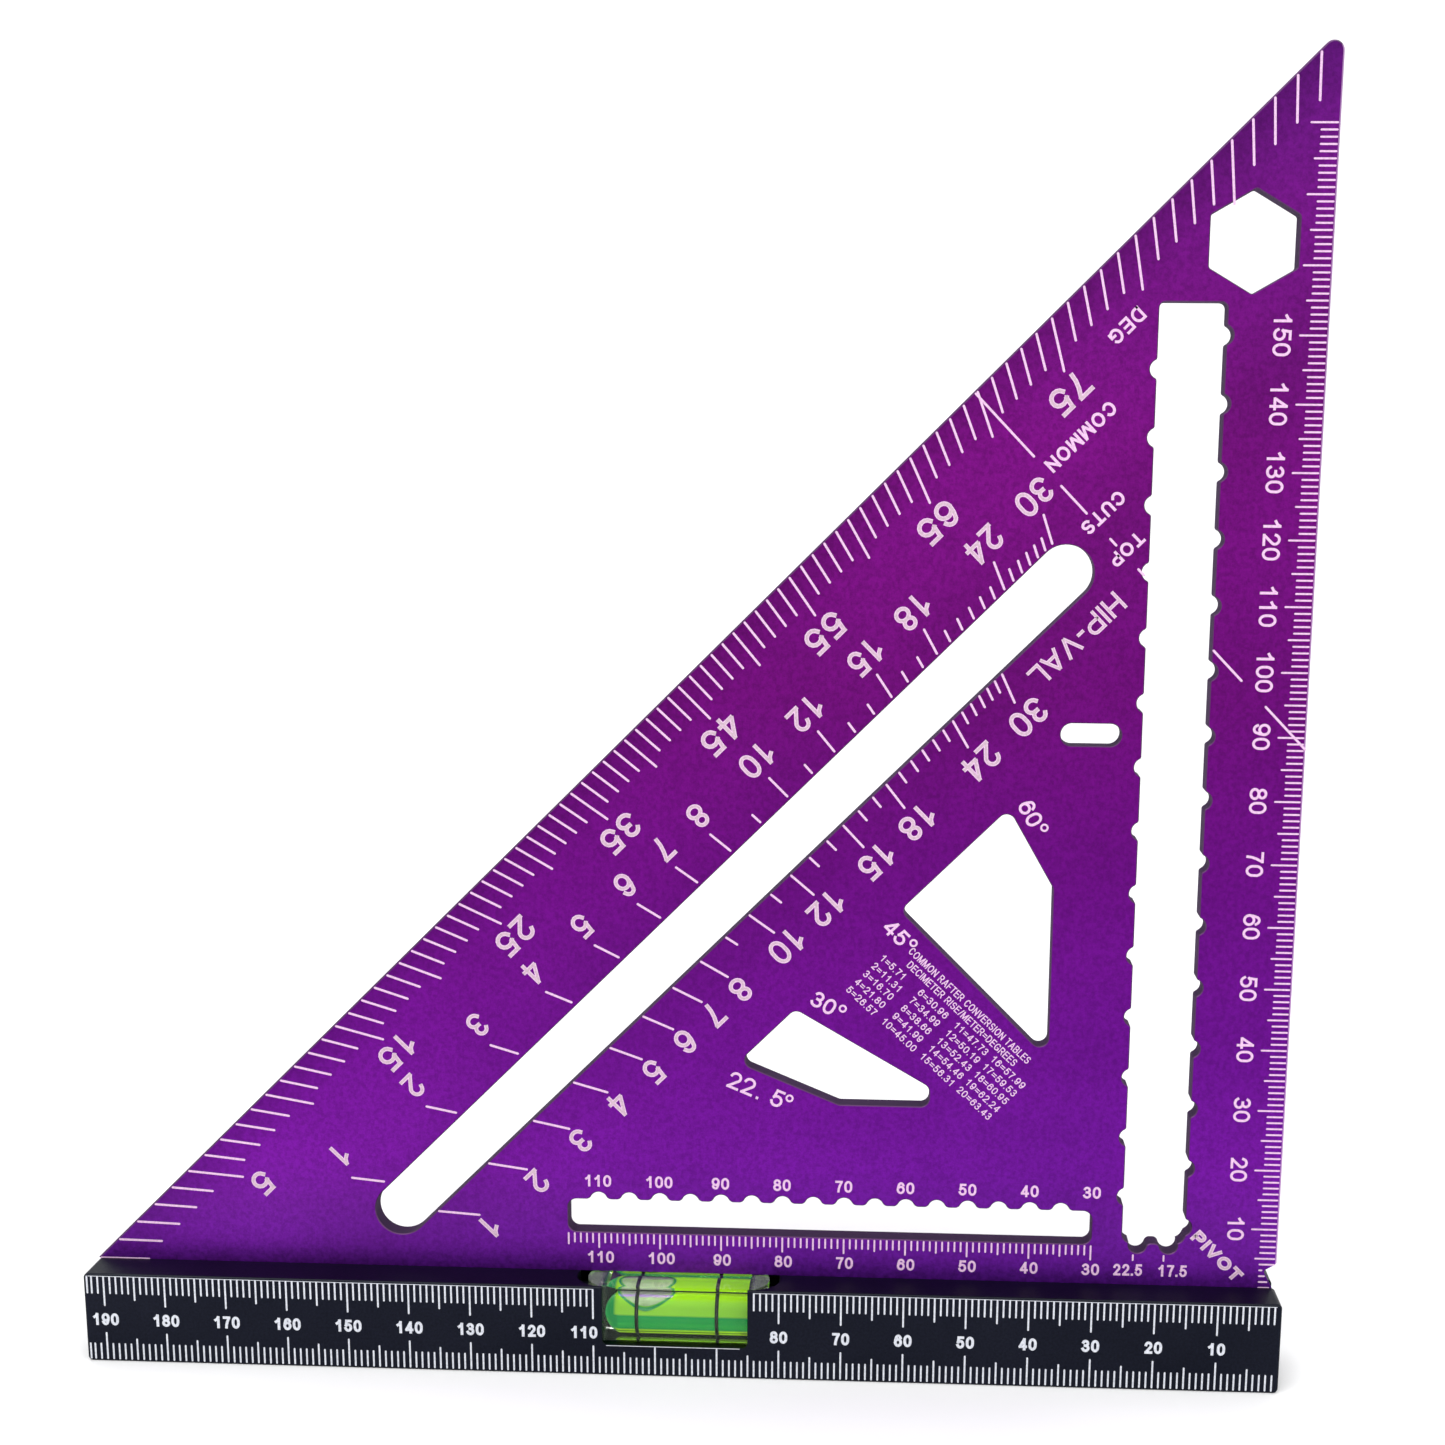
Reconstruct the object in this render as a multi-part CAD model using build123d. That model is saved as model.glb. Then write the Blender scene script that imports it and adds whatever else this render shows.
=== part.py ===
from build123d import *
import math
import os

# Speed square: a triangular marking plate whose lower edge stands in a groove along a thick base bar,
# held by four screws, with a small spirit level under the plate at the middle of the bar.
# The square stands on its bar. X runs along the bar, +Z is up and the front face looks along -Y.
# The origin is under the middle of the bar, on the surface it stands on.

# Driving dimensions, mm
leg_length = 193.5           # both legs of the right-angled triangle
plate_thickness = 3.2
bar_height = 15.2
bar_depth = 15.8
bar_corner_radius = 0.8
bar_edge_radius = 0.35
apex_radius = 1.5
corner_reach = 1.0           # corners this close to an end count as that end's
edge_chamfer = 0.25
opening_chamfer = 0.15

# Tang: the strip of the plate that goes down into the bar's groove
tang_depth = 9.0
groove_clearance = 0.05      # on each side of the tang, and under it
relief_margin = 1.0          # the tang stops this far from each end of the vial's recess

# Pivot notch at the corner where the upright leg meets the bar
notch_height = 4.2
notch_depth = 2.1
notch_centre_height = 2.9
notch_foot = 0.6
notch_radius = 0.4

# Hexagon opening near the apex
hexagon_across_flats = 13.0
hexagon_centre = (-11.55, 163.35)
hexagon_corner_radius = 0.6

# Upright scribing slot with pencil notches along both sides
scribe_left = -25.0
scribe_right = -15.0
scribe_bottom = 7.1
scribe_top = 154.7
scribe_corner_radius = 0.9
pencil_radius = 1.45
pencil_depth = 1.05
pencil_blend = 0.5
right_notch_heights = range(10, 151, 10)
left_notch_heights = range(15, 146, 10)
bottom_notch_places = (-22.5, -17.5)
bottom_notch_depth = 1.7
bottom_bump_radius = 0.9     # on both corners of the bump between the bottom notches
bottom_corner_radius = 1.6

# Level scribing slot above the bar with pencil notches along its top
level_left = -115.0
level_right = -30.0
level_bottom = 6.7
level_top = 12.35
level_corner_radius = 1.4
level_notch_radius = 1.4
level_notch_depth = 1.25
level_blend = 0.9
level_notch_places = range(-110, -34, 5)

# Long diagonal slot, parallel to the sloping edge
diagonal_width = 8.5
diagonal_start = (-142.5, 9.75)
diagonal_run = 105.0         # the same along X and Z, so the slot lies at 45 degrees

# Small oblong hole
oblong_centre = (-32.85, 90.0)
oblong_length = 9.3
oblong_width = 3.5

# Two angle openings. Their marked edges lie on lines through the pivot corner.
angle_opening_radius = 1.4
angle_slope_offset = 123.3   # both sloping upper left edges lie on this line, height = X + offset
steep_right = -37.9
shallow_bottom = 29.4
shallow_right = -56.6

# Spirit level in the middle of the bar
window_width = 23.5
window_shift = -0.2          # the window's middle lies this far from the middle of the bar
window_depth = 9.9
window_corner_radius = 0.8
pocket_width = 25.0          # behind the window, down to the same depth; the back of the bar stays closed
recess_width = 33.2
recess_depth = 1.9
vial_width = 24.8
vial_flange_width = 29.6
vial_depth = 8.4             # front to back
vial_forward = 3.2           # the vial's middle lies this far in front of the middle of the bar
vial_height = 9.45
vial_flange_height = 1.6
vial_set_down = 0.15         # the vial's top lies this much below the top of the bar
vial_edge_radius = 0.35
vial_fit = 0.1
bore_radius = 3.6
bore_centre_drop = 5.6       # below the top of the bar
bore_left = -11.9
bore_right = 11.6
dome_sag = 2.4               # the bore's left end is domed by this much
plug_radius = 3.75
plug_length = 0.8            # it fills the vial from the bore's right end to the vial's end
ring_offset = 6.5
ring_width = 0.6
ring_thickness = 0.25
liquid_gap = 0.02
bubble_length = 9.6
bubble_width = 6.0
bubble_height = 2.6
bubble_gap = 0.15
bubble_rest = -5.1
bubble_low = -5.2
bubble_high = 6.5

# Fixing screws, from the back through the bar and the tang
screw_places = (-80.0, -35.0, 35.0, 80.0)
screw_drop = 5.2             # below the top of the bar
screw_radius = 1.45
screw_head_radius = 2.75
screw_head_height = 1.65
screw_length = 10.4
screw_gap = 0.1
screw_tip_gap = 0.5
socket_across_flats = 2.0
socket_depth = 1.1

middle = leg_length / 2
bore_height = bar_height - bore_centre_drop
cutter_length = 2 * bar_depth    # cutters through the plate or the bar reach past both sides
# Sketches of the plate are drawn from the pivot corner: x along the bar, y up the square.
pivot_plane = Plane(origin=(middle, 0, bar_height), x_dir=(1, 0, 0), z_dir=(0, -1, 0))


def slope(angle, x):
    """Height at x of the line through the pivot corner at this angle to the bar."""
    return -x * math.tan(math.radians(angle))


def meet_slope(angle):
    """Point where the line through the pivot corner meets the openings' sloping line."""
    x = -angle_slope_offset / (1 + math.tan(math.radians(angle)))
    return (x, x + angle_slope_offset)


def rounded_polygon(points, radius):
    face = make_face(Polyline(*points, close=True))
    return fillet(face.vertices(), radius)


def through(sketch):
    """A cutter made from a sketch in pivot coordinates, longer than the bar is deep."""
    return extrude(pivot_plane * sketch, amount=cutter_length / 2, both=True)


def broad_faces(plate):
    """The plate's front and back faces."""
    faces = plate.faces().sort_by(Axis.Y)
    return faces[0], faces[-1]


def pencil_notch(radius, depth, blend):
    """A round notch blended into a straight side. The side is y = 0 and the notch goes to y = depth."""
    inset = radius - depth
    reach = math.sqrt((radius + blend) ** 2 - (blend + inset) ** 2)
    share = radius / (radius + blend)
    side_x = reach * share
    side_y = (blend + inset) * share - inset
    mouth = -radius
    outline = [
        TangentArc((reach, 0), (side_x, side_y), tangent=(-1, 0)),
        ThreePointArc((side_x, side_y), (0, depth), (-side_x, side_y)),
        TangentArc((-reach, 0), (-side_x, side_y), tangent=(1, 0)),
        Polyline((-reach, 0), (-reach, mouth), (reach, mouth), (reach, 0)),
    ]
    return make_face(outline)


def scribe_slot():
    centre = Pos((scribe_left + scribe_right) / 2, (scribe_top + scribe_bottom) / 2)
    slot = centre * Rectangle(scribe_right - scribe_left, scribe_top - scribe_bottom)
    slot = fillet([v for v in slot.vertices() if v.Y > scribe_top - corner_reach], scribe_corner_radius)
    slot = fillet([v for v in slot.vertices() if v.Y < scribe_bottom + corner_reach], bottom_corner_radius)
    notch = pencil_notch(pencil_radius, pencil_depth, pencil_blend)
    for y in right_notch_heights:
        slot += Pos(scribe_right, y) * Rot(0, 0, -90) * notch
    for y in left_notch_heights:
        slot += Pos(scribe_left, y) * Rot(0, 0, 90) * notch
    for x in bottom_notch_places:
        slot += Pos(x, scribe_bottom - bottom_notch_depth + pencil_radius) * Circle(pencil_radius)
    bump_corners = slot.vertices().sort_by_distance((sum(bottom_notch_places) / 2, scribe_bottom))[:2]
    return fillet(bump_corners, bottom_bump_radius)


def level_slot():
    centre = Pos((level_left + level_right) / 2, (level_bottom + level_top) / 2)
    width = level_right - level_left
    slot = centre * RectangleRounded(width, level_top - level_bottom, level_corner_radius)
    notch = pencil_notch(level_notch_radius, level_notch_depth, level_blend)
    for x in level_notch_places:
        slot += Pos(x, level_top) * notch
    return slot


def diagonal_slot():
    length = diagonal_run * math.sqrt(2)
    centre = Pos(diagonal_start[0] + diagonal_run / 2, diagonal_start[1] + diagonal_run / 2)
    return centre * Rot(0, 0, 45) * SlotCenterToCenter(length, diagonal_width)


def steep_opening():
    """Opening with a 60 degree upper right edge and a 45 degree lower left edge."""
    points = [
        meet_slope(45),
        (steep_right, slope(45, steep_right)),
        (steep_right, slope(60, steep_right)),
        meet_slope(60),
    ]
    return rounded_polygon(points, angle_opening_radius)


def shallow_opening():
    """Opening with a 30 degree upper right edge and a 22.5 degree lower left edge."""
    foot = -shallow_bottom / math.tan(math.radians(22.5))
    points = [
        meet_slope(22.5),
        (foot, shallow_bottom),
        (shallow_right, shallow_bottom),
        (shallow_right, slope(30, shallow_right)),
        meet_slope(30),
    ]
    return rounded_polygon(points, angle_opening_radius)


def hexagon_opening():
    radius = hexagon_across_flats / math.sqrt(3)
    hexagon = RegularPolygon(radius, 6, rotation=30)
    return Pos(*hexagon_centre) * fillet(hexagon.vertices(), hexagon_corner_radius)


def plate_outline():
    """The visible triangle with its pivot notch, and the tang below it."""
    triangle = make_face(Polyline(
        (-notch_foot, 0),
        (-notch_depth, notch_centre_height),
        (0, notch_height),
        (0, leg_length),
        (-leg_length, 0),
        close=True,
    ))
    apex = [v for v in triangle.vertices() if v.Y > leg_length - corner_reach]
    triangle = fillet(apex, apex_radius)
    notch = triangle.vertices().sort_by_distance((-notch_depth, notch_centre_height))
    triangle = fillet(notch[0], notch_radius)
    tang_right = -notch_foot
    tang_left = -leg_length + bar_corner_radius
    tang_width = tang_right - tang_left
    tang = Pos((tang_right + tang_left) / 2, -tang_depth / 2) * Rectangle(tang_width, tang_depth)
    relief = Pos(-middle, -tang_depth / 2) * Rectangle(recess_width + 2 * relief_margin, tang_depth)
    return triangle + (tang - relief)


def triangle_plate():
    plate = extrude(pivot_plane * plate_outline(), amount=plate_thickness / 2, both=True)
    oblong = Pos(*oblong_centre) * SlotOverall(oblong_length, oblong_width)
    for sketch in (scribe_slot(), level_slot(), diagonal_slot(), steep_opening(), shallow_opening(),
                   hexagon_opening(), oblong):
        plate -= through(sketch)
    rims = [edge for face in broad_faces(plate) for wire in face.inner_wires() for edge in wire.edges()]
    plate = chamfer(rims, opening_chamfer)
    outline = [edge for face in broad_faces(plate) for edge in face.outer_wire().edges()
               if edge.center().Z > bar_height + notch_height]
    plate = chamfer(outline, edge_chamfer)
    screw_hole_radius = screw_radius + groove_clearance
    for x in screw_places:
        hole = Rot(90, 0, 0) * Cylinder(screw_hole_radius, cutter_length)
        plate -= Pos(x, 0, bar_height - screw_drop) * hole
    return plate


def base_bar():
    profile = Pos(0, bar_height / 2) * RectangleRounded(leg_length, bar_height, bar_corner_radius)
    bar = extrude(Plane.XZ * profile, amount=bar_depth / 2, both=True)
    faces = bar.faces().sort_by(Axis.Y)
    bar = fillet(faces[0].edges() + faces[-1].edges(), bar_edge_radius)
    groove_width = plate_thickness + 2 * groove_clearance
    groove_depth = tang_depth + groove_clearance
    groove = Box(2 * leg_length, groove_width, groove_depth)
    bar -= Pos(0, 0, bar_height - groove_depth / 2) * groove
    bar -= vial_pocket()
    for x in screw_places:
        bar -= Pos(x, bar_depth / 2, bar_height - screw_drop) * Rot(-90, 0, 0) * screw_hole()
    return bar


def vial_pocket():
    """Window in the front of the bar, the wider pocket behind it for the vial, and the recess for its flange."""
    fit_depth = vial_depth + 2 * vial_fit
    window = Pos(window_shift, -window_depth / 2) * Rectangle(window_width, window_depth)
    window = fillet(window.vertices().sort_by(Axis.Y)[:2], window_corner_radius)
    opening = extrude(pivot_plane * Pos(-middle, 0) * window, amount=cutter_length)
    pocket = Pos(0, 0, -window_depth / 2) * Box(pocket_width, fit_depth, window_depth)
    pocket += extrude(SlotOverall(recess_width, fit_depth), amount=-recess_depth)
    return opening + Pos(0, -vial_forward, bar_height) * pocket


def screw_hole():
    """Countersunk blind hole, its mouth at the origin and its depth along -Z."""
    reach = screw_length + screw_tip_gap
    narrow = screw_radius + screw_gap
    hole = Pos(0, 0, -reach / 2) * Cylinder(narrow, reach)
    sink_height = screw_head_height + screw_gap
    sink = Pos(0, 0, -sink_height / 2) * Cone(narrow, screw_head_radius + screw_gap, sink_height)
    return hole + sink


def fixing_screw():
    """Countersunk socket screw, its head's flat at the origin and its shank along -Z."""
    shank = Pos(0, 0, -screw_length / 2) * Cylinder(screw_radius, screw_length)
    head = Pos(0, 0, -screw_head_height / 2) * Cone(screw_radius, screw_head_radius, screw_head_height)
    socket = extrude(RegularPolygon(socket_across_flats / math.sqrt(3), 6), amount=-socket_depth)
    return shank + head - socket


def at_bore(x):
    """The place on the bore's axis at this X."""
    return Pos(x, -vial_forward, bore_height)


def bore(radius, left, right):
    """A cylinder along X with a shallow dome at its left end, lying on the vial's axis."""
    dome_radius = (radius ** 2 + dome_sag ** 2) / (2 * dome_sag)
    turn = math.asin(radius / dome_radius) / 2
    dome_middle = (left + dome_radius * (1 - math.cos(turn)), dome_radius * math.sin(turn))
    outline = [
        ThreePointArc((left, 0), dome_middle, (left + dome_sag, radius)),
        Polyline((left + dome_sag, radius), (right, radius), (right, 0), (left, 0)),
    ]
    turned = revolve(Plane.XZ * make_face(outline), axis=Axis.X)
    return at_bore(0) * turned


def vial_body():
    body = Pos(0, 0, -vial_height / 2) * Box(vial_width, vial_depth, vial_height)
    body += extrude(SlotOverall(vial_flange_width, vial_depth), amount=-vial_flange_height)
    body = Pos(0, -vial_forward, bar_height - vial_set_down) * body
    body = fillet(body.edges().filter_by(Axis.X), vial_edge_radius)
    body -= bore(bore_radius, bore_left, bore_right)
    seat = Rot(0, 90, 0) * Cylinder(plug_radius + liquid_gap, 2 * plug_length)
    return body - at_bore(bore_right + plug_length) * seat


def vial_end_plug():
    return at_bore(bore_right + plug_length / 2) * Rot(0, 90, 0) * Cylinder(plug_radius, plug_length)


def vial_ring(side):
    """A black sighting ring that lies against the wall of the bore."""
    outer = bore_radius - liquid_gap
    ring = Cylinder(outer, ring_width) - Cylinder(outer - ring_thickness, ring_width)
    return at_bore(side * ring_offset) * Rot(0, 90, 0) * ring


def bubble_shape(length, width, height, radius):
    """A long flat-bottomed bubble under the top of the bore of this radius, centred on X = 0."""
    blank = extrude(SlotOverall(length, width), amount=2 * bore_radius)
    blank = at_bore(0) * Pos(0, 0, radius - height) * blank
    return blank & at_bore(0) * Rot(0, 90, 0) * Cylinder(radius, 2 * length)


def vial_bubble():
    radius = bore_radius - ring_thickness - bubble_gap
    return Pos(bubble_rest, 0, 0) * bubble_shape(bubble_length, bubble_width, bubble_height, radius)


def vial_liquid():
    liquid = bore(bore_radius - liquid_gap, bore_left + liquid_gap, bore_right - liquid_gap)
    groove_width = ring_width + 2 * liquid_gap
    groove = Cylinder(bore_radius, groove_width)
    groove -= Cylinder(bore_radius - ring_thickness - 2 * liquid_gap, groove_width)
    for side in (-1, 1):
        liquid -= at_bore(side * ring_offset) * Rot(0, 90, 0) * groove
    return liquid - bubble_channel()


def bubble_channel():
    """The space along the top of the bore that the bubble travels in."""
    length = bubble_length + bubble_high - bubble_low + 2 * bubble_gap
    blank = extrude(SlotOverall(length, bubble_width + 2 * bubble_gap), amount=2 * bore_radius)
    bottom = bore_radius - ring_thickness - 2 * bubble_gap - bubble_height
    return at_bore((bubble_high + bubble_low) / 2) * Pos(0, 0, bottom) * blank


parts = {
    "triangle_plate": triangle_plate(),
    "base_bar": base_bar(),
    "vial_body": vial_body(),
    "vial_end_plug": vial_end_plug(),
    "vial_liquid": vial_liquid(),
    "vial_bubble": vial_bubble(),
    "vial_ring_left": vial_ring(-1),
    "vial_ring_right": vial_ring(1),
}
for number, place in enumerate(screw_places, 1):
    seat = Pos(place, bar_depth / 2, bar_height - screw_drop) * Rot(-90, 0, 0)
    parts[f"fixing_screw_{number}"] = seat * fixing_screw()

os.makedirs("parts", exist_ok=True)
for name, shape in parts.items():
    export_step(shape, f"parts/{name}.step")
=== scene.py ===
import math

import bmesh
import bpy
from mathutils import Matrix, Vector


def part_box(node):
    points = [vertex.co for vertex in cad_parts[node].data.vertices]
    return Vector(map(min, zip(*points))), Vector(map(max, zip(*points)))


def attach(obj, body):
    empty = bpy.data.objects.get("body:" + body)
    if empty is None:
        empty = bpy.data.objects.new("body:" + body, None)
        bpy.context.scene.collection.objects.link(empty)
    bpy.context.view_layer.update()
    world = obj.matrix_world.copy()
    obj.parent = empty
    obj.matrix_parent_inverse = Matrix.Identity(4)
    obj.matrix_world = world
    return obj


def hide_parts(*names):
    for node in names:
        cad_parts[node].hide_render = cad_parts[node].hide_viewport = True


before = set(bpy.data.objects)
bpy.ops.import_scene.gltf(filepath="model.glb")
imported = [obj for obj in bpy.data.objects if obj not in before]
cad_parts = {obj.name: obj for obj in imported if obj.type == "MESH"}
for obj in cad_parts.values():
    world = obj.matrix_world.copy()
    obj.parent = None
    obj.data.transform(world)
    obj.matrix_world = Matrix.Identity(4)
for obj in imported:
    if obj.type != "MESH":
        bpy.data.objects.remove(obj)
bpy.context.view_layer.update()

MM = 0.001

# Places from the frame
plate_low, plate_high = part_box("triangle_plate")
bar_low, bar_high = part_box("base_bar")
vial_low, vial_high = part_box("vial_body")
plug_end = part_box("vial_end_plug")[1].x
liquid_low, liquid_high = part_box("vial_liquid")
bubble_low, bubble_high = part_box("vial_bubble")

# The corner where both legs start, on the plate's front, and the length of both legs in mm
pivot = Vector((bar_high.x, plate_low.y, bar_high.z))
leg = (bar_high.x - bar_low.x) / MM

# Marks stand this far proud of their surface, and reach this far below it, mm
MARK_PROUD = 0.02
MARK_SUNK = 0.06

# Further strokes of a sign, long lines and fills stand this much prouder, so that no faces coincide, mm
STROKE_LIFT = 0.002
LINE_LIFT = 0.004
FILL_LIFT = 0.006

# Direction of the slope in degrees, and how far across it the sloping edge and both sides of the diagonal
# slot lie, mm. The lines of the slot's sides meet the legs at 158.25 and 146.25 mm from the pivot
SLOPE = 225
HALF_DIAGONAL = math.sqrt(0.5)
slope_edge = -leg * HALF_DIAGONAL
slot_upper = -158.25 * HALF_DIAGONAL
slot_lower = -146.25 * HALF_DIAGONAL


# ---------------------------------------------------------------- mesh helpers

def arc(x, y, rx, ry, first, last, steps=12):
    """Points along an ellipse from one angle to another, in degrees."""
    turns = [math.radians(first + (last - first) * i / steps) for i in range(steps + 1)]
    return [(x + rx * math.cos(t), y + ry * math.sin(t)) for t in turns]


def sideways(points, i, closed):
    """The step to the left of a line of points that keeps a ribbon of half width 1 even around a corner."""
    count = len(points)
    pieces = []
    if closed or i > 0:
        pieces.append((points[i - 1], points[i]))
    if closed or i + 1 < count:
        pieces.append((points[i], points[(i + 1) % count]))
    normals = []
    for (x0, y0), (x1, y1) in pieces:
        length = math.hypot(x1 - x0, y1 - y0) or 1
        normals.append(((y0 - y1) / length, (x1 - x0) / length))
    nx = sum(normal[0] for normal in normals) / len(normals)
    ny = sum(normal[1] for normal in normals) / len(normals)
    sharpest = 0.35
    scale = 1 / max(nx * nx + ny * ny, sharpest)
    return nx * scale, ny * scale


class Marks:
    """Thin closed marks on a flat face. x and y are mm along the face from its corner, and y points up."""

    def __init__(self, name, corner, slot):
        self.name, self.corner, self.slot = name, corner, slot
        self.mesh = bmesh.new()

    def corners(self, outline, depth):
        return [self.mesh.verts.new(self.corner + Vector((x * MM, depth * MM, y * MM))) for x, y in outline]

    def prism(self, outline, lift=0.0):
        """A closed flat piece with this outline, listed anticlockwise as seen from the front."""
        near = self.corners(outline, -MARK_PROUD - lift)
        far = self.corners(outline, MARK_SUNK)
        self.mesh.faces.new(near)
        self.mesh.faces.new(list(reversed(far)))
        for i in range(len(outline)):
            j = (i + 1) % len(outline)
            self.mesh.faces.new((near[i], far[i], far[j], near[j]))

    def bar(self, start, end, width, lift=0.0):
        """A straight mark. Its rounded ends lie within its length."""
        direction = math.degrees(math.atan2(end[1] - start[1], end[0] - start[0]))
        half = width / 2
        outline = []
        for (x, y), outward in ((end, direction), (start, direction + 180)):
            turn = math.radians(outward)
            centre = (x - half * math.cos(turn), y - half * math.sin(turn))
            outline += arc(*centre, half, half, outward - 90, outward + 90, 4)
        self.prism(outline, lift)

    def ribbon(self, points, width, closed=False, lift=0.0):
        """A curved mark of even width that follows the points."""
        half = width / 2
        count = len(points)
        left, right = [], []
        for i, (x, y) in enumerate(points):
            dx, dy = sideways(points, i, closed)
            left.append((x + dx * half, y + dy * half))
            right.append((x - dx * half, y - dy * half))
        front = -MARK_PROUD - lift
        left_near, left_far = self.corners(left, front), self.corners(left, MARK_SUNK)
        right_near, right_far = self.corners(right, front), self.corners(right, MARK_SUNK)
        for i in range(count if closed else count - 1):
            j = (i + 1) % count
            self.mesh.faces.new((left_near[i], right_near[i], right_near[j], left_near[j]))
            self.mesh.faces.new((left_far[j], right_far[j], right_far[i], left_far[i]))
            self.mesh.faces.new((left_near[j], left_far[j], left_far[i], left_near[i]))
            self.mesh.faces.new((right_near[i], right_far[i], right_far[j], right_near[j]))
        if not closed:
            for i in (0, count - 1):
                cap = [left_near[i], left_far[i], right_far[i], right_near[i]]
                self.mesh.faces.new(list(reversed(cap)) if i else cap)

    def finish(self, material):
        bmesh.ops.recalc_face_normals(self.mesh, faces=self.mesh.faces)
        add_piece(self.name, self.mesh, material, "square")


def mesh_object(name, source, material):
    data = bpy.data.meshes.new(name)
    source.to_mesh(data)
    source.free()
    data.materials.append(material)
    made = bpy.data.objects.new(name, data)
    bpy.context.scene.collection.objects.link(made)
    return made


def add_piece(name, source, material, body):
    piece = mesh_object(name, source, material)
    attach(piece, body)
    return piece


# ---------------------------------------------------------------- lettering

def loop(x, y, rx, ry):
    """A closed stroke around an ellipse."""
    return arc(x, y, rx, ry, 0, 345, 23) + [None]


def turned_over(strokes):
    return [[point and (1 - point[0], 1 - point[1]) for point in stroke] for stroke in strokes]


OVAL = arc(0.5, 0.6, 0.5, 0.4, 0, 180) + arc(0.5, 0.4, 0.5, 0.4, 180, 345, 11) + [None]
SIX = [loop(0.5, 0.32, 0.5, 0.32), arc(0.54, 0.66, 0.44, 0.34, 22, 135, 8) + [(0.06, 0.62), (0.0, 0.38)]]
STEM = [(0.0, 0.0), (0.0, 1.0)]
RIGHT_STEM = [(1.0, 0.0), (1.0, 1.0)]

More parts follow.
